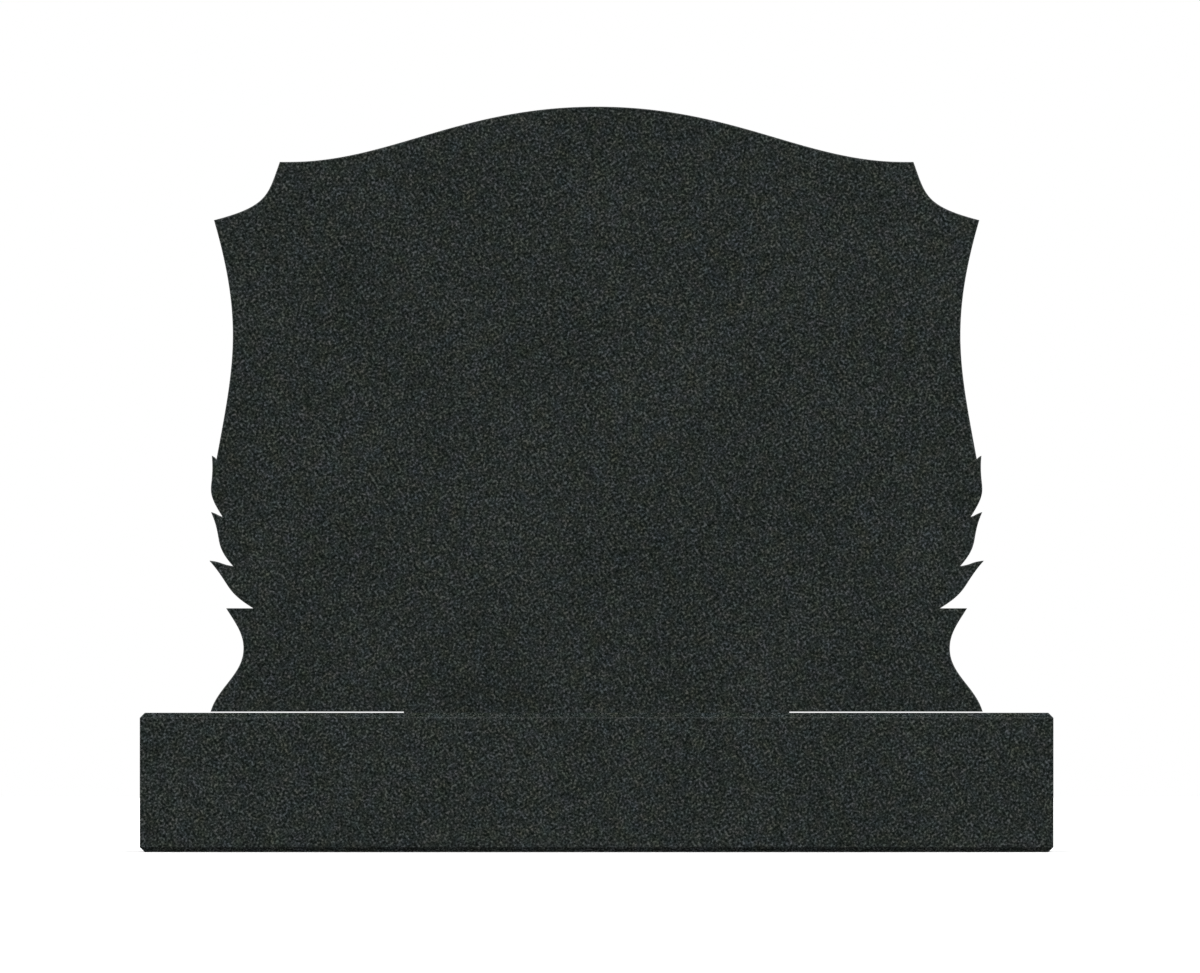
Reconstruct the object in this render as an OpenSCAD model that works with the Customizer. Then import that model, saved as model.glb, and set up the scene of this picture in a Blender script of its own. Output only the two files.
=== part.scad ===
// An upright granite headstone: a shaped tablet standing on a long, low base.
//
// The front faces -Y, X runs along the width and Z is up. The origin is at the
// middle of the base's underside. The tablet is one slab, cut to an outline that
// is the same on both sides of its centre line. From the top down, each side has
// a swept crown, a scooped corner, a hollow flank, three leaves and a waisted
// pedestal. Depths on the sides are measured in from the tablet's widest line.

/* [Tablet] */
// Width across the lowest leaves, where the tablet is widest
tablet_w = 918; // [760:1:1110]
// Height from the foot to the top of the crown
tablet_h = 717; // [590:1:900]
// Thickness from front to back
tablet_t = 152; // [90:1:200]

/* [Crown] */
// Height of the crown above its level lips
crown_rise = 65.5; // [40:0.5:110]
// Fullness of the crown at its top and at its lips, as a share of its chord
crown_pull = [0.44, 0.32]; // [0.2:0.01:0.5]
// Width of the level lip that ends the crown
lip_w = 11; // [1:0.5:40]

/* [Shoulders] */
// How far each shoulder point stops short of the widest line
shoulder_inset = 5.5; // [0:0.5:30]
// Width of each scooped corner
scoop_w = 78; // [50:1:110]
// Height of each scooped corner
scoop_h = 69; // [50:1:90]
// Turn of the scoop away from its chord at the top and the bottom, in degrees
scoop_turn = [-28.5, 27]; // [-40:0.5:40]
// Fullness of the scoop at the top and the bottom, as a share of its chord
scoop_pull = [0.4, 0.64]; // [0.2:0.01:0.7]
// Turn of the flank away from its chord at the top and the bottom, in degrees
flank_turn = [-15.5, 11]; // [-20:0.5:20]
// Fullness of the flank at the top and the bottom, as a share of its chord
flank_pull = [0.45, 0.39]; // [0.2:0.01:0.5]

/* [Leaves] */
// Height of each leaf from the notch below it to the notch above, top leaf first
leaf_h = [68.5, 58.5, 50]; // [44:0.5:76]
// Depth of the notch above each leaf
notch_depth = [8.5, 15.5, 28]; // [7:0.5:32]
// Height of each leaf's point above the notch beside it
point_rise = [4, 5.5, 6.5]; // [2:0.5:7]
// How far each leaf's point stops short of the widest line
point_inset = [3, 2, 0]; // [0:0.5:4]
// Turn of each leaf's outer edge at its point, in degrees
point_turn = [5, -1.5, 1.5]; // [-6:0.5:6]
// Turn of each leaf's outer edge at its lower end, in degrees
heel_turn = [-23, -19.5, -16]; // [-26:0.5:0]
// Fullness of each leaf's edges, as a share of their chords
leaf_pull = [0.58, 0.52, 0.52]; // [0.3:0.01:0.6]
// Turn of a leaf's short upper edge at the notch and at the point, in degrees
barb_turn = [-4.5, -8]; // [-16:0.5:10]

/* [Pedestal] */
// Height of the pedestal's level top, where the lowest leaf ends
pedestal_h = 122.5; // [100:0.5:150]
// Depth of the notch above the pedestal
pedestal_depth = 52; // [34:0.5:70]
// How far the pedestal's upper corner stops short of the widest line
pedestal_inset = 20; // [10:0.5:30]
// Turn of the pedestal's edge at its upper corner, in degrees
pedestal_turn = -8; // [-16:0.5:8]
// Depth of the waist
waist_depth = 40.5; // [32:0.5:60]
// Height of the narrowest part of the waist
waist_h = 75; // [50:0.5:90]
// How far the foot stops short of the widest line
foot_inset = 1.5; // [0:0.5:20]
// Steepness of the edge where it meets the foot, in degrees
foot_angle = 74; // [55:1:90]
// Fullness of the two edges that meet at the waist, as a share of their chords
waist_pull = 0.36; // [0.2:0.01:0.5]

/* [Base] */
// How far the base runs out past the tablet on the left and the right
side_ledge = 81.5; // [20:0.5:200]
// How far the base runs out past the tablet at the front and the back
front_ledge = 76.5; // [20:0.5:150]
// Height of the base
base_h = 165; // [90:1:260]
// Cut-back of the base's top and bottom edges, at 45 degrees
base_chamfer = 6; // [1:0.5:18]

/* [Joint] */
// Width of the middle of the tablet's underside, which bears on the base
bearing_w = 457; // [300:1:700]
// Height of the open joint on each side of the bearing
joint_gap = 1.3; // [0.6:0.1:4]

/* [Hidden] */

granite = [0.17, 0.19, 0.18];
level = 0;
down = -90;
edge_steps = 20;

base_w = tablet_w + 2 * side_ledge;
base_d = tablet_t + 2 * front_ledge;

// Points on the right side, with heights above the foot
side_x = tablet_w / 2;
lip_z = tablet_h - crown_rise;
shoulder = [side_x - shoulder_inset, lip_z - scoop_h];
lip_end = [shoulder.x - scoop_w, lip_z];
lip_start = lip_end - [lip_w, 0];
pedestal_notch = [side_x - pedestal_depth, pedestal_h];
pedestal_corner = [side_x - pedestal_inset, pedestal_h];
waist = [side_x - waist_depth, waist_h];
foot = [side_x - foot_inset, 0];
last_leaf = len(leaf_h) - 1;

function heading(p, q) = atan2(q.y - p.y, q.x - p.x);
function step(angle, length) = length * [cos(angle), sin(angle)];
function cubic(p, p1, q1, q, t) =
    pow(1 - t, 3) * p + 3 * pow(1 - t, 2) * t * p1
    + 3 * (1 - t) * pow(t, 2) * q1 + pow(t, 3) * q;

// A smooth edge that leaves p in one direction and reaches q in another. The
// pull says how far each direction is held, as a share of the chord. The point q
// itself is left for the next edge to begin with.
function edge(p, q, leave, reach, pull) =
    let (
        chord = norm(q - p),
        p1 = p + step(leave, pull[0] * chord),
        q1 = q - step(reach, pull[1] * chord)
    )
    [for (i = [0 : edge_steps - 1]) cubic(p, p1, q1, q, i / edge_steps)];

// The same, with each direction given as a turn away from the chord
function bowed(p, q, turn, pull) =
    edge(p, q, heading(p, q) + turn[0], heading(p, q) + turn[1], pull);

function crown() = concat(
    edge([0, tablet_h], lip_start, level, level, crown_pull),
    [lip_start]
);

// The notch above leaf i, and the point of leaf i beside it
function height_to(i) = i > last_leaf ? pedestal_h : leaf_h[i] + height_to(i + 1);
function notch(i) =
    i > last_leaf ? pedestal_notch : [side_x - notch_depth[i], height_to(i)];
function point(i) = [side_x - point_inset[i], height_to(i) + point_rise[i]];

// Leaf i: out along its upper edge to the point, then down to the next notch
function leaf(i) =
    let (pull = [leaf_pull[i], leaf_pull[i]])
    concat(
        bowed(notch(i), point(i), barb_turn, pull),
        bowed(point(i), notch(i + 1), [point_turn[i], heel_turn[i]], pull)
    );

function pedestal() =
    let (
        pull = [waist_pull, waist_pull],
        leave = heading(pedestal_corner, waist) + pedestal_turn
    )
    concat(
        [pedestal_notch],
        edge(pedestal_corner, waist, leave, down, pull),
        edge(waist, foot, down, -foot_angle, pull),
        [foot]
    );

// The foot stands clear of the base by the open joint, but for the bearing.
function underside() = [[bearing_w / 2, 0], [bearing_w / 2, -joint_gap]];

// One side of the tablet, from the top of the crown down to the bearing
function side() = concat(
    crown(),
    bowed(lip_end, shoulder, scoop_turn, scoop_pull),
    bowed(shoulder, notch(0), flank_turn, flank_pull),
    [for (i = [0 : last_leaf]) each leaf(i)],
    pedestal(),
    underside()
);

// The other side, from the bearing up to just short of the top of the crown
function other_side() =
    let (right = side())
    [for (i = [len(right) - 1 : -1 : 1]) [-right[i].x, right[i].y]];

// A slab standing in the XZ plane, centred front to back
module upright(depth)
    translate([0, depth / 2, 0])
        rotate([90, 0, 0])
            linear_extrude(depth) children();

// A rectangle standing on its long edge, with its corners cut off at 45 degrees
module cut_corner_plate(w, h, cut)
    polygon([
        [-w / 2 + cut, 0], [w / 2 - cut, 0], [w / 2, cut], [w / 2, h - cut],
        [w / 2 - cut, h], [-w / 2 + cut, h], [-w / 2, h - cut], [-w / 2, cut]
    ]);

module tablet() {
    color(granite)
    translate([0, 0, base_h + joint_gap])
        upright(tablet_t)
            polygon(concat(side(), other_side()));
}

// Each pair of cut edges comes from one plate, so the edges meet in mitres.
module base() {
    color(granite)
    intersection() {
        upright(base_d) cut_corner_plate(base_w, base_h, base_chamfer);
        rotate([0, 0, 90])
            upright(base_w) cut_corner_plate(base_d, base_h, base_chamfer);
    }
}

tablet();
base();
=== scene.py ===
import math

import bmesh
import bpy
import numpy as np
from bpy.props import FloatProperty, FloatVectorProperty, IntProperty, PointerProperty
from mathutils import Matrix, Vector


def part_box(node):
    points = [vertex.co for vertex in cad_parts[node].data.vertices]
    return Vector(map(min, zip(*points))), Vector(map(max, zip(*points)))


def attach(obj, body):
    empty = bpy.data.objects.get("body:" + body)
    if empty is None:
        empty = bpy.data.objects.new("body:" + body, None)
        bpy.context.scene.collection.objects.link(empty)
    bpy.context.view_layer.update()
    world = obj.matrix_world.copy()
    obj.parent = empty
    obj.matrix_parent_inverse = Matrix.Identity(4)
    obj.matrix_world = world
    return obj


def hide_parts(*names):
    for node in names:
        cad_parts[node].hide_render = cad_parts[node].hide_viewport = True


bl_info = {
    "name": "Granite Headstone",
    "version": (1, 0, 0),
    "blender": (4, 5, 0),
    "location": "View3D > Sidebar > Headstone",
    "description": "Builds a shaped granite tablet on its base, in a plain studio",
    "category": "Add Mesh",
}

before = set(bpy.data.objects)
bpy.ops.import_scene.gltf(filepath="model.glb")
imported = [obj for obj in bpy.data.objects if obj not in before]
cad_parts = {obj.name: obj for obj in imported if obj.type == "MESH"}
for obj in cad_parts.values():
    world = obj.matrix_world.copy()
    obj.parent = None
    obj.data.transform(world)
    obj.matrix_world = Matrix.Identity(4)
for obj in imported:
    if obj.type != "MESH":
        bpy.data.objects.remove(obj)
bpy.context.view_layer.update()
tablet_low, tablet_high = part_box("tablet")
base_low, base_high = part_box("base")

MM = 0.001


# ---------------------------------------------------------------- settings


class HeadstoneSizes(bpy.types.PropertyGroup):
    """Sizes of the fine edge work. The large sizes come from the frame."""

    tablet_arris: FloatProperty(
        name="Tablet Arris",
        description="Radius of the eased edge round the tablet's front and back",
        default=1.1 * MM,
        min=0.2 * MM,
        max=4.0 * MM,
        subtype="DISTANCE",
        unit="LENGTH",
    )
    base_arris: FloatProperty(
        name="Base Arris",
        description="Width of the fine easing along every edge of the base",
        default=0.3 * MM,
        min=0.1 * MM,
        max=2.0 * MM,
        subtype="DISTANCE",
        unit="LENGTH",
    )
    arris_steps: IntProperty(
        name="Arris Steps",
        description="Number of facets across each eased edge",
        default=3,
        min=1,
        max=6,
    )
    edge_spacing: FloatProperty(
        name="Edge Spacing",
        description="Longest straight step along the tablet's curved edges",
        default=4.0 * MM,
        min=1.0 * MM,
        max=20.0 * MM,
        subtype="DISTANCE",
        unit="LENGTH",
    )


class HeadstoneStone(bpy.types.PropertyGroup):
    """The granite's colours, grain and finishes."""

    pit_colour: FloatVectorProperty(
        name="Pits",
        description="The near-black mineral between the crystals",
        default=(0.0010, 0.0038, 0.0025),
        subtype="COLOR",
        size=3,
        min=0.0,
        max=1.0,
    )
    ground_colour: FloatVectorProperty(
        name="Ground",
        description="The dark mineral that most of the stone is made of",
        default=(0.0080, 0.0119, 0.0101),
        subtype="COLOR",
        size=3,
        min=0.0,
        max=1.0,
    )
    crystal_colour: FloatVectorProperty(
        name="Crystals",
        description="The grey-green crystals",
        default=(0.0187, 0.0245, 0.0219),
        subtype="COLOR",
        size=3,
        min=0.0,
        max=1.0,
    )
    pale_colour: FloatVectorProperty(
        name="Pale Crystals",
        description="The paler crystals",
        default=(0.0409, 0.0488, 0.0453),
        subtype="COLOR",
        size=3,
        min=0.0,
        max=1.0,
    )
    fleck_colour: FloatVectorProperty(
        name="Flecks",
        description="The few bright crystals",
        default=(0.0992, 0.1102, 0.1055),
        subtype="COLOR",
        size=3,
        min=0.0,
        max=1.0,
    )
    grain_size: FloatProperty(
        name="Grain Size",
        description="Usual distance from one crystal to the next",
        default=2.8 * MM,
        min=0.5 * MM,
        max=20.0 * MM,
        subtype="DISTANCE",
        unit="LENGTH",
    )
    polished: FloatProperty(
        name="Polished",
        description="Roughness of the polished faces",
        default=0.17,
        min=0.02,
        max=1.0,
        subtype="FACTOR",
    )
    honed: FloatProperty(
        name="Honed",
        description="Roughness of the honed edges",
        default=0.36,
        min=0.02,
        max=1.0,
        subtype="FACTOR",
    )
    sawn: FloatProperty(
        name="Sawn",
        description="Roughness of the sawn underside",
        default=0.8,
        min=0.02,
        max=1.0,
        subtype="FACTOR",
    )


class HeadstoneStage(bpy.types.PropertyGroup):
    """The floor, lights and camera."""

    floor_colour: FloatVectorProperty(
        name="Floor",
        description="Colour of the floor",
        default=(0.86, 0.86, 0.86),
        subtype="COLOR",
        size=3,
        min=0.0,
        max=1.0,
    )
    floor_size: FloatProperty(
        name="Floor Size",
        description="Width of the floor",
        default=60.0,
        min=2.0,
        max=500.0,
        subtype="DISTANCE",
        unit="LENGTH",
    )
    front_strength: FloatProperty(
        name="Front Lights",
        description="Strength of each of the two soft lights in front",
        default=0.83,
        min=0.0,
        max=20.0,
    )
    top_strength: FloatProperty(
        name="Top Light",
        description="Strength of the soft light overhead",
        default=0.8,
        min=0.0,
        max=20.0,
    )
    side_strength: FloatProperty(
        name="Side Lights",
        description="Strength of each of the two soft lights at the sides",
        default=0.38,
        min=0.0,
        max=20.0,
    )
    back_strength: FloatProperty(
        name="Back Light",
        description="Strength of the soft light behind",
        default=1.5,
        min=0.0,
        max=20.0,
    )
    floor_strength: FloatProperty(
        name="Floor Light",
        description="Strength of the soft light that falls on the floor alone",
        default=1.05,
        min=0.0,
        max=20.0,
    )
    room_glow: FloatProperty(
        name="Room Glow",
        description="Light that reaches the stone from the whole room",
        default=0.03,
        min=0.0,
        max=1.0,
    )
    wall_glow: FloatProperty(
        name="Wall Glow",
        description="Light that reaches the stone from the side walls",
        default=0.3,
        min=0.0,
        max=1.0,
    )
    slant_glow: FloatProperty(
        name="Slant Glow",
        description="Light that reaches the stone from between level and straight up or down",
        default=0.5,
        min=0.0,
        max=2.0,
    )
    corner_glow: FloatProperty(
        name="Corner Glow",
        description="Light that reaches the stone from high in the room's four corners",
        default=2.5,
        min=0.0,
        max=10.0,
    )
    lens: FloatProperty(
        name="Lens",
        description="Focal length of the camera's long lens",
        default=1200.0,
        min=50.0,
        max=1350.0,
        subtype="DISTANCE_CAMERA",
        unit="CAMERA",
    )
    frame_width: FloatProperty(
        name="Frame Width",
        description="Width that the camera takes in at the stone",
        default=1.4209,
        min=0.5,
        max=5.0,
        subtype="DISTANCE",
        unit="LENGTH",
    )
    frame_centre: FloatVectorProperty(
        name="Frame Centre",
        description="Distance right and height of the point that the camera looks at",
        default=(0.004, 0.4329),
        size=2,
        subtype="NONE",
        unit="LENGTH",
    )


# ---------------------------------------------------------------- shader sums


class Flow:
    """A value on its way through a node tree. Sums on it add Math nodes."""

    def __init__(self, desk, socket):
        self.desk = desk
        self.socket = socket

    def other(self, name):
        """Another output of the same node."""
        return Flow(self.desk, self.socket.node.outputs[name])

    def sum(self, operation, *values, clamp=False):
        """A Math node on the given values."""
        settings = {"operation": operation, "use_clamp": clamp}
        return self.desk.add("ShaderNodeMath", settings, dict(enumerate(values)))

    def __add__(self, other):
        return self.sum("ADD", self, other)

    def __radd__(self, other):
        return self.sum("ADD", other, self)

    def __sub__(self, other):
        return self.sum("SUBTRACT", self, other)

    def __rsub__(self, other):
        return self.sum("SUBTRACT", other, self)

    def __mul__(self, other):
        return self.sum("MULTIPLY", self, other)

    def __rmul__(self, other):
        return self.sum("MULTIPLY", other, self)

    def __abs__(self):
        return self.sum("ABSOLUTE", self)

    def clamped(self):
        """The value held between 0 and 1."""
        return self.sum("ADD", self, 0.0, clamp=True)


class Desk:
    """Where a node tree is put together."""

    def __init__(self, tree):
        self.tree = tree
        self.tree.nodes.clear()

    def add(self, kind, settings=None, values=None, out=0):
        """Adds a node, sets it up, fills or links its inputs, and gives one of its outputs."""
        node = self.tree.nodes.new(kind)
        for name, setting in (settings or {}).items():
            if name == "stops":
                self.set_stops(node.color_ramp, setting)
            else:
                setattr(node, name, setting)
        for name, value in (values or {}).items():
            socket = node.inputs[name]
            if isinstance(value, Flow):
                self.tree.links.new(value.socket, socket)
            else:
                socket.default_value = value
        return Flow(self, node.outputs[out]) if len(node.outputs) else node

    def set_stops(self, ramp, stops):
        """Gives a colour ramp its stops, each a position and a colour."""
        while len(ramp.elements) > 1:
            ramp.elements.remove(ramp.elements[-1])
        ramp.elements[0].position = stops[0][0]
        ramp.elements[0].color = stops[0][1]
        for position, colour in stops[1:]:
            ramp.elements.new(position).color = colour

    def vector(self, operation, *values):
        """A Vector Math node on the given vectors."""
        settings = {"operation": operation}
        return self.add("ShaderNodeVectorMath", settings, dict(enumerate(values)))

    def scaled(self, vector, factor):
        """A vector made longer or shorter."""
        settings = {"operation": "SCALE"}
        return self.add("ShaderNodeVectorMath", settings, {0: vector, "Scale": factor})

    def tinted(self, colour, tint):
        """A colour multiplied by another."""
        settings = {"data_type": "RGBA", "blend_type": "MULTIPLY", "clamp_factor": True}
        return self.add("ShaderNodeMix", settings, {0: 1.0, 6: colour, 7: tint}, out=2)

    def noise(self, place, size, detail):
        """Soft noise whose lumps are about the given size across."""
        values = {"Vector": place, "Scale": 1.0 / size, "Detail": detail}
        return self.add("ShaderNodeTexNoise", {"noise_dimensions": "3D"}, values)

    def cells(self, place, size):
        """Cells like close-packed crystals, about the given size across."""
        values = {"Vector": place, "Scale": 1.0 / size}
        return self.add("ShaderNodeTexVoronoi", {"voronoi_dimensions": "3D"}, values)


def solid(colour):
    """A colour with full alpha, as the nodes take it."""
    return (colour[0], colour[1], colour[2], 1.0)


# ---------------------------------------------------------------- granite


# How strongly the grain stands out of each finish, and how deep it is at full strength
RELIEF = {"polished": 0.04, "honed": 0.12, "sawn": 0.5}
RELIEF_DEPTH = 0.2 * MM

# Turns the rows of the noise away from level and upright
GRAIN_TURN = math.radians(33)

# Fineness of the grain on the flat faces, and on faces that cut across its layers
FACE_FINENESS = 1.0
EDGE_FINENESS = 0.68

# Where in the stone each piece is cut from, so that the two don't share a pattern
TABLET_PLACE = 0.0
BASE_PLACE = 3.0

# Size of the bends in the crystals and of the crystals, as shares of the grain
BEND_SIZE = 1.6
CRYSTAL_SIZE = 1.1

# Size of the soft light and dark clouds, and of the warm and the blue patches
CLOUD_SIZE = 160 * MM
RUST_SIZE = 17 * MM
BLUE_SIZE = 22 * MM

# How far each pattern sways the shade, or the tint, about its middle
MIDDLE = 0.5
LUMP_SWAY = 1.86
CRYSTAL_SWAY = 0.28
CLOUD_SWAY = 0.16
RUST_SWAY = 0.42
BLUE_SWAY = 0.64

# Keeps the blue patches from following the warm ones
BLUE_SHIFT = (5.0, 0.0, 0.0)

# Roughness of the smoothest crystal as a share of its finish's, and what the rest may add
SMOOTHEST = 0.85
ROUGH_SPREAD = 0.3

GRANITE_IOR = 1.55


def granite(name, stone, body, spot, finish, fineness):
    """A dark, close-grained granite that runs right through the piece.

    The noise is liveliest on its own layers, so a whole number of them fills the piece from
    front to back, and both faces lie on one. Where a face cuts across the layers the same
    grain looks coarser, and a fineness below 1 makes up for it.
    """
    low, high = body
    material = bpy.data.materials.new(name)
    material.use_nodes = True
    desk = Desk(material.node_tree)
    depth = high.y - low.y
    grain = depth / round(depth / stone.grain_size) * fineness

    place = desk.add("ShaderNodeTexCoord").other("Object")
    settings = {"vector_type": "POINT"}
    values = {0: place, "Location": (spot, -low.y, spot), "Rotation": (0.0, GRAIN_TURN, 0.0)}
    place = desk.add("ShaderNodeMapping", settings, values)

    push = desk.noise(place, grain * BEND_SIZE, 1.0).other("Color")
    push = desk.vector("SUBTRACT", push, (MIDDLE, MIDDLE, MIDDLE))
    bent = desk.vector("ADD", place, desk.scaled(push, grain))
    crystal = desk.cells(bent, grain * CRYSTAL_SIZE).other("Color")
    crystal = desk.add("ShaderNodeSeparateColor", None, {0: crystal})
    lumps = desk.noise(place, grain, 1.0)
    cloud = desk.noise(place, CLOUD_SIZE, 2.0)
    shade = MIDDLE + (lumps - MIDDLE) * LUMP_SWAY
    shade = shade + (crystal - MIDDLE) * CRYSTAL_SWAY + (cloud - MIDDLE) * CLOUD_SWAY
    stops = [
        (0.1, solid(stone.pit_colour)),
        (0.3, solid(stone.ground_colour)),
        (0.5, solid(stone.crystal_colour)),
        (0.7, solid(stone.pale_colour)),
        (0.9, solid(stone.fleck_colour)),
    ]
    colour = desk.add("ShaderNodeValToRGB", {"stops": stops}, {0: shade.clamped()})

    rust = desk.noise(place, RUST_SIZE, 1.0)
    blue = desk.noise(desk.vector("ADD", place, BLUE_SHIFT), BLUE_SIZE, 1.0)
    warmth = 1.0 + (rust - MIDDLE) * RUST_SWAY
    coolness = 1.0 + (blue - MIDDLE) * BLUE_SWAY
    tint = desk.add("ShaderNodeCombineColor", None, {0: warmth, 1: 1.0, 2: coolness})
    colour = desk.tinted(colour, tint)

    roughness = getattr(stone, finish)
    rough = roughness * (SMOOTHEST + ROUGH_SPREAD * crystal.other("Green"))
    values = {"Strength": RELIEF[finish], "Distance": RELIEF_DEPTH, "Height": lumps}
    bump = desk.add("ShaderNodeBump", None, values)
    values = {"Base Color": colour, "Roughness": rough, "Normal": bump, "IOR": GRANITE_IOR}
    shader = desk.add("ShaderNodeBsdfPrincipled", None, values)
    desk.add("ShaderNodeOutputMaterial", None, {"Surface": shader})
    return material


def granites(piece, stone, body, spot, edge_finish):
    """The granite of a piece's faces, edges and underside, in the order of its slots."""
    return [
        granite(f"{piece}_faces", stone, body, spot, "polished", FACE_FINENESS),
        granite(f"{piece}_edges", stone, body, spot, edge_finish, EDGE_FINENESS),
        granite(f"{piece}_underside", stone, body, spot, "sawn", EDGE_FINENESS),
    ]


# ---------------------------------------------------------------- mesh work


# Material slots of a piece
FACES, EDGES, UNDERSIDE = 0, 1, 2

# Corners of a frame node that are closer than this are one corner
WELD = 0.01 * MM

# A face looks along an axis when its normal has at least this share of it
FACING = 0.9

# The outline has a corner where it turns by more than this, in degrees
SHARP = 14.0

# The least that a corner's move is divided by, so that a sharp one doesn't move far
MITRE_LEAST = 0.35

# A corner that turns left by more than this, in degrees, is a thin point. Its easing is
# this wide at the tip, grows by this share of the point's half width, and is held back
# over this many widths of the easing.
POINTED = 55
TIP_WIDTH = 0.12 * MM
TIP_SHARE = 0.55
POINT_REACH = 12

# Edge faces wholly within this height of the tablet's lowest level are its underside
UNDERSIDE_HEIGHT = 3 * MM


def merged(node):
    """A bmesh of a frame node with its corners joined and its flat faces whole."""
    mesh = bmesh.new()
    mesh.from_mesh(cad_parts[node].data)
    bmesh.ops.remove_doubles(mesh, verts=mesh.verts, dist=WELD)
    mesh.verts.index_update()
    mesh.verts.ensure_lookup_table()
    mesh.normal_update()
    return mesh


def front_outline(node):
    """The outline of a node's front face as (x, z) rows, anticlockwise from the front."""
    mesh = merged(node)
    front = {f for f in mesh.faces if f.normal.y < -FACING}
    after = {}
    for face in front:
        for loop in face.loops:
            if sum(f in front for f in loop.edge.link_faces) == 1:
                after[loop.vert.index] = loop.link_loop_next.vert.index
    first = max(after, key=lambda i: (mesh.verts[i].co.z, -abs(mesh.verts[i].co.x)))
    order = [first]
    while after[order[-1]] != first:
        order.append(after[order[-1]])
    points = np.array([(mesh.verts[i].co.x, mesh.verts[i].co.z) for i in order])
    mesh.free()
    return points


def turns(points):
    """How far the outline turns at each point, in degrees, left turns positive."""
    ahead = np.roll(points, -1, axis=0) - points
    behind = points - np.roll(points, 1, axis=0)
    cross = behind[:, 0] * ahead[:, 1] - behind[:, 1] * ahead[:, 0]
    dot = (behind * ahead).sum(axis=1)
    return np.degrees(np.arctan2(cross, dot))


def between(before, a, b, beyond, t):
    """A point a share t of the way from a to b, on a smooth curve through all four points."""
    return 0.5 * (
        2 * a
        + (b - before) * t
        + (2 * before - 5 * a + 4 * b - beyond) * t**2
        + (3 * a - before - 3 * b + beyond) * t**3
    )


def refined(points, spacing):
    """The outline with its curved runs filled in so that no curved step is too long."""
    count = len(points)
    corner = np.abs(turns(points)) > SHARP
    rows = []
    for i in range(count):
        j = (i + 1) % count
        a, b = points[i], points[j]
        rows.append(a)
        if corner[i] and corner[j]:
            continue
        before = 2 * a - b if corner[i] else points[i - 1]
        beyond = 2 * b - a if corner[j] else points[(i + 2) % count]
        steps = math.ceil(np.linalg.norm(b - a) / spacing)
        rows += [between(before, a, b, beyond, k / steps) for k in range(1, steps)]
    return np.array(rows)


def inward(points, width):
    """How far each point moves in to ease the edge, less beside a sharp point."""
    ahead = np.roll(points, -1, axis=0) - points
    length = np.linalg.norm(ahead, axis=1)
    ahead /= length[:, None]
    behind = np.roll(ahead, 1, axis=0)
    normal = np.stack([-ahead[:, 1], ahead[:, 0]], axis=1)
    normal_behind = np.stack([-behind[:, 1], behind[:, 0]], axis=1)
    way = normal + normal_behind
    cosine = (normal * normal_behind).sum(axis=1)
    reach = way / np.maximum(1 + cosine, MITRE_LEAST)[:, None]
    turn = turns(points)
    count = len(points)
    ease = np.full(count, width)
    for i in np.nonzero(turn > POINTED)[0]:
        half = math.radians(180 - turn[i]) / 2
        for direction in (1, -1):
            along = 0.0
            k = i
            while along < POINT_REACH * width:
                limit = TIP_WIDTH + TIP_SHARE * along * math.tan(half)
                ease[k % count] = min(ease[k % count], limit)
                along += length[k % count] if direction == 1 else length[(k - 1) % count]
                k += direction
    return reach * ease[:, None]


def weighted(piece):
    """Gives a piece normals that keep its large faces flat and its eased edges round."""
    modifier = piece.modifiers.new("face_normals", "WEIGHTED_NORMAL")
    modifier.mode = "FACE_AREA"
    modifier.weight = 100
    modifier.keep_sharp = True


def made(name, mesh, materials):
    """A piece from a finished bmesh."""
    data = bpy.data.meshes.new(name)
    mesh.to_mesh(data)
    mesh.free()
    for material in materials:
        data.materials.append(material)
    piece = bpy.data.objects.new(name, data)
    bpy.context.scene.collection.objects.link(piece)
    return piece


def tablet_mesh(sizes):
    """A closed slab with the tablet's outline, eased round its front and back."""
    points = refined(front_outline("tablet"), sizes.edge_spacing)
    move = inward(points, sizes.tablet_arris)
    steps = sizes.arris_steps
    width = sizes.tablet_arris
    mesh = bmesh.new()
    rings = []
    inwards = range(steps + 1)
    for side, face, order in (
        (-1, tablet_low.y, inwards),
        (1, tablet_high.y, reversed(inwards)),
    ):
        for k in order:
            angle = math.pi / 2 * k / steps
            ring = points + move * (1 - math.sin(angle))
            depth = face - side * width * (1 - math.cos(angle))
            rings.append([mesh.verts.new((x, depth, z)) for x, z in ring])
    count = len(points)
    corner = np.abs(turns(points)) > SHARP
    under = tablet_low.z + UNDERSIDE_HEIGHT
    mesh.faces.new(rings[0]).material_index = FACES
    mesh.faces.new(list(reversed(rings[-1]))).material_index = FACES
    for r in range(len(rings) - 1):
        for i in range(count):
            j = (i + 1) % count
            face = mesh.faces.new((rings[r][i], rings[r + 1][i], rings[r + 1][j], rings[r][j]))
            low = max(v.co.z for v in face.verts) < under
            face.material_index = UNDERSIDE if low else EDGES
    for face in mesh.faces:
        face.smooth = True
    for r in range(len(rings) - 1):
        for i in np.nonzero(corner)[0]:
            mesh.edges.get((rings[r][i], rings[r + 1][i])).smooth = False
    bmesh.ops.recalc_face_normals(mesh, faces=mesh.faces)
    return mesh


def base_mesh(sizes):
    """The base's solid with every edge eased."""
    mesh = merged("base")
    bmesh.ops.dissolve_limit(
        mesh, angle_limit=math.radians(1), verts=mesh.verts, edges=mesh.edges
    )
    bmesh.ops.bevel(
        mesh,
        geom=list(mesh.edges),
        offset=sizes.base_arris,
        offset_type="OFFSET",
        segments=sizes.arris_steps,
        profile=0.5,
        affect="EDGES",
        clamp_overlap=True,
    )
    mesh.normal_update()
    for face in mesh.faces:
        face.smooth = True
        face.material_index = FACES if abs(face.normal.y) > FACING else EDGES
        if face.normal.z < -FACING:
            face.material_index = UNDERSIDE
    return mesh


# ---------------------------------------------------------------- operators


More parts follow.
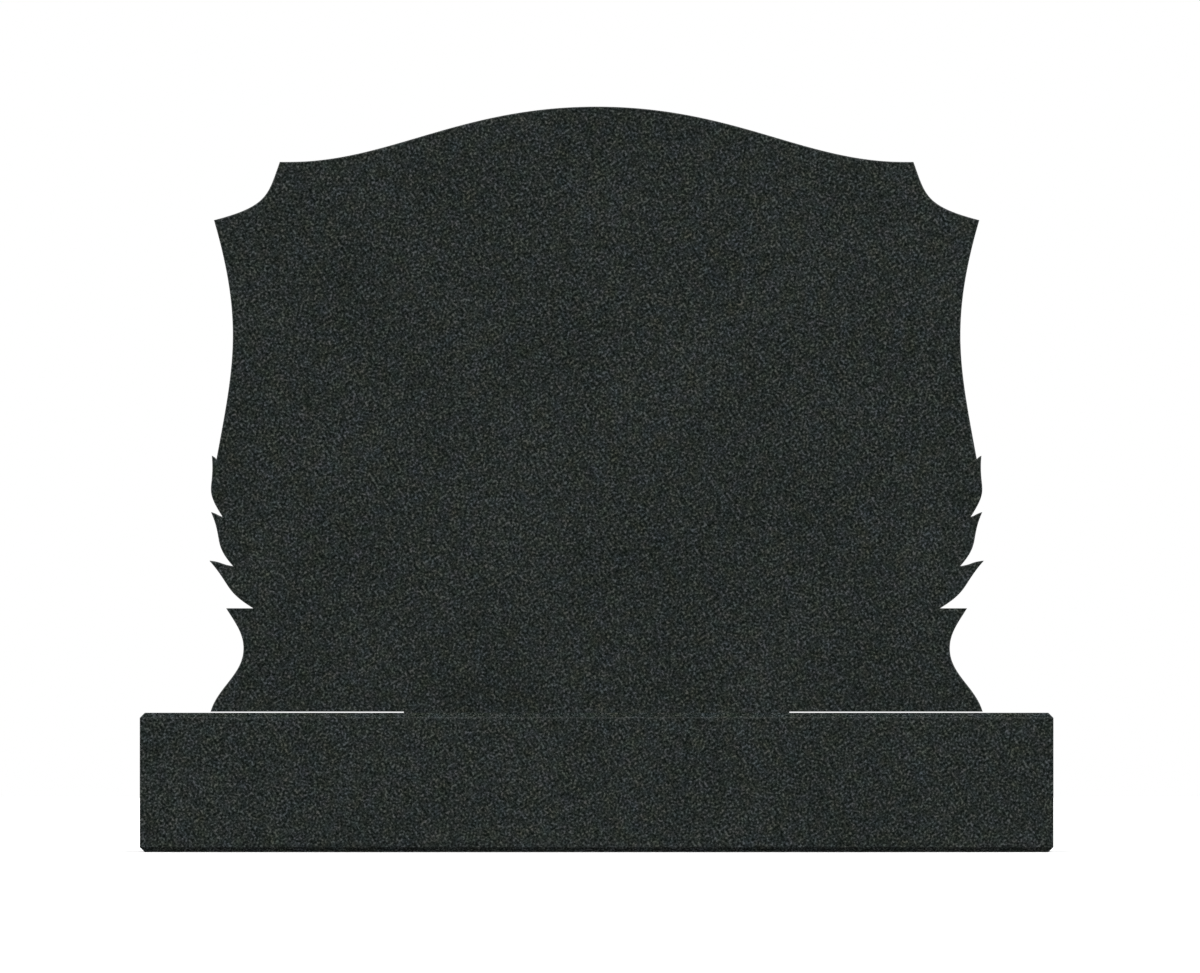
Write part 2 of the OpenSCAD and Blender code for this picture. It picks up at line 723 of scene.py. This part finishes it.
class HEADSTONE_OT_tablet(bpy.types.Operator):
    """Build the shaped upright tablet in place of the frame's plain one"""

    bl_idname = "headstone.tablet"
    bl_label = "Build Tablet"

    def execute(self, context):
        scene = context.scene
        body = (tablet_low, tablet_high)
        materials = granites("tablet", scene.headstone_stone, body, TABLET_PLACE, "honed")
        piece = made("granite_tablet", tablet_mesh(scene.headstone_sizes), materials)
        weighted(piece)
        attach(piece, "root")
        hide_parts("tablet")
        return {"FINISHED"}


class HEADSTONE_OT_base(bpy.types.Operator):
    """Build the long base with its cut-back edges in place of the frame's plain one"""

    bl_idname = "headstone.base"
    bl_label = "Build Base"

    def execute(self, context):
        scene = context.scene
        body = (base_low, base_high)
        materials = granites("base", scene.headstone_stone, body, BASE_PLACE, "polished")
        piece = made("granite_base", base_mesh(scene.headstone_sizes), materials)
        weighted(piece)
        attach(piece, "root")
        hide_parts("base")
        return {"FINISHED"}


# Each light's name, the setting of its strength, its azimuth from the front, its elevation
# and its spread in degrees, and whether it shows in the polish
LIGHTS = (
    ("left_key", "front_strength", -28, 30, 56, True),
    ("right_key", "front_strength", 28, 30, 56, True),
    ("top_light", "top_strength", 0, 78, 80, False),
    ("left_fill", "side_strength", -95, 25, 60, False),
    ("right_fill", "side_strength", 95, 25, 60, False),
    ("back_light", "back_strength", 180, 35, 60, False),
)
FLOOR_LIGHT = ("floor_light", "floor_strength", 0, 75, 90, False)

# Where the lights stand. They are as bright from any distance.
LIGHT_DISTANCE = 4

# The width of the camera's sensor in millimetres, and the nearest and furthest that it
# sees in metres
SENSOR_WIDTH = 36.0
NEAREST = 1.0
FURTHEST = 400.0

# Height of the middle of the open joint above the base
JOINT_MIDDLE = 0.65 * MM


def soft_light(stage, name, setting, azimuth, elevation, spread, shines):
    """A broad, distant light from the given side of the stone, which may show in the polish."""
    strength = getattr(stage, setting)
    light = bpy.data.lights.new(name, "SUN")
    light.energy = strength
    light.angle = math.radians(spread)
    lamp = bpy.data.objects.new(name, light)
    a, e = math.radians(azimuth), math.radians(elevation)
    back = Vector((math.sin(a) * math.cos(e), -math.cos(a) * math.cos(e), math.sin(e)))
    lamp.location = back * LIGHT_DISTANCE
    lamp.rotation_mode = "QUATERNION"
    lamp.rotation_quaternion = (-back).to_track_quat("-Z", "Y")
    lamp.visible_glossy = shines
    bpy.context.scene.collection.objects.link(lamp)
    return lamp


def floor(stage):
    """A plain, pale, level floor under the stone."""
    mesh = bmesh.new()
    bmesh.ops.create_circle(mesh, cap_ends=True, segments=96, radius=stage.floor_size / 2)
    material = bpy.data.materials.new("pale_floor")
    material.use_nodes = True
    desk = Desk(material.node_tree)
    values = {"Base Color": solid(stage.floor_colour), "Roughness": 0.9}
    values["Specular IOR Level"] = 0.0
    shader = desk.add("ShaderNodeBsdfPrincipled", None, values)
    desk.add("ShaderNodeOutputMaterial", None, {"Surface": shader})
    piece = made("pale_floor", mesh, [material])
    piece.visible_diffuse = False
    piece.visible_glossy = False
    lit = bpy.data.collections.new("floor_only")
    lit.objects.link(piece)
    lamp = soft_light(stage, *FLOOR_LIGHT)
    lamp.light_linking.receiver_collection = lit


def room(stage):
    """A white room behind the stone, whose walls, floor and ceiling put a dim glow on it."""
    world = bpy.data.worlds.new("white_room")
    bpy.context.scene.world = world
    world.use_nodes = True
    desk = Desk(world.node_tree)
    way = desk.add("ShaderNodeTexCoord").other("Generated")
    across = desk.add("ShaderNodeSeparateXYZ", None, {0: way})
    up = across.other("Z")
    slant = abs(up) * (1.0 - up * up)
    corner = abs(across * across.other("Y")) * up.clamped()
    glow = stage.room_glow + across * across * stage.wall_glow
    glow = glow + slant * stage.slant_glow + corner * stage.corner_glow
    dim = desk.add("ShaderNodeBackground", None, {0: (1.0, 1.0, 1.0, 1.0), 1: glow})
    white = desk.add("ShaderNodeBackground", None, {0: (1.0, 1.0, 1.0, 1.0), 1: 1.0})
    seen = desk.add("ShaderNodeLightPath").other("Is Camera Ray")
    both = desk.add("ShaderNodeMixShader", None, {0: seen, 1: dim, 2: white})
    desk.add("ShaderNodeOutputWorld", None, {"Surface": both})


def camera(stage):
    """A camera square to the front, level with the joint, with a long lens."""
    data = bpy.data.cameras.new("front_camera")
    data.lens = stage.lens
    data.sensor_width = SENSOR_WIDTH
    data.clip_start = NEAREST
    data.clip_end = FURTHEST
    eye = bpy.data.objects.new("front_camera", data)
    bpy.context.scene.collection.objects.link(eye)
    across, up = stage.frame_centre
    aim = Vector((across, (tablet_low.y + base_low.y) / 2, up))
    distance = stage.frame_width * stage.lens / data.sensor_width
    eye.location = (across, aim.y - distance, base_high.z + JOINT_MIDDLE)
    eye.rotation_mode = "QUATERNION"
    eye.rotation_quaternion = (aim - eye.location).to_track_quat("-Z", "Y")
    bpy.context.scene.camera = eye


class HEADSTONE_OT_stage(bpy.types.Operator):
    """Lay the floor, hang the soft lights and set up the camera"""

    bl_idname = "headstone.stage"
    bl_label = "Set Up Stage"

    def execute(self, context):
        scene = context.scene
        stage = scene.headstone_stage
        floor(stage)
        room(stage)
        for light in LIGHTS:
            soft_light(stage, *light)
        camera(stage)
        scene.view_settings.view_transform = "Standard"
        scene.view_settings.look = "None"
        scene.view_settings.exposure = 0.0
        scene.view_settings.gamma = 1.0
        return {"FINISHED"}


class VIEW3D_PT_headstone(bpy.types.Panel):
    """The headstone's settings and steps"""

    bl_label = "Headstone"
    bl_idname = "VIEW3D_PT_headstone"
    bl_space_type = "VIEW_3D"
    bl_region_type = "UI"
    bl_category = "Headstone"

    def draw(self, context):
        layout = self.layout
        scene = context.scene
        for settings in (scene.headstone_sizes, scene.headstone_stone, scene.headstone_stage):
            column = layout.column(align=True)
            for name in type(settings).__annotations__:
                column.prop(settings, name)
        for step in (HEADSTONE_OT_tablet, HEADSTONE_OT_base, HEADSTONE_OT_stage):
            layout.operator(step.bl_idname)


CLASSES = (
    HeadstoneSizes,
    HeadstoneStone,
    HeadstoneStage,
    HEADSTONE_OT_tablet,
    HEADSTONE_OT_base,
    HEADSTONE_OT_stage,
    VIEW3D_PT_headstone,
)


def register():
    """Adds the classes and the scene's three groups of settings."""
    for cls in CLASSES:
        bpy.utils.register_class(cls)
    bpy.types.Scene.headstone_sizes = PointerProperty(type=HeadstoneSizes)
    bpy.types.Scene.headstone_stone = PointerProperty(type=HeadstoneStone)
    bpy.types.Scene.headstone_stage = PointerProperty(type=HeadstoneStage)


def unregister():
    """Takes out what register() added."""
    del bpy.types.Scene.headstone_stage
    del bpy.types.Scene.headstone_stone
    del bpy.types.Scene.headstone_sizes
    for cls in reversed(CLASSES):
        bpy.utils.unregister_class(cls)


def main():
    """Builds both pieces and the stage."""
    register()
    bpy.ops.headstone.tablet()
    bpy.ops.headstone.base()
    bpy.ops.headstone.stage()


if __name__ == "__main__":
    main()
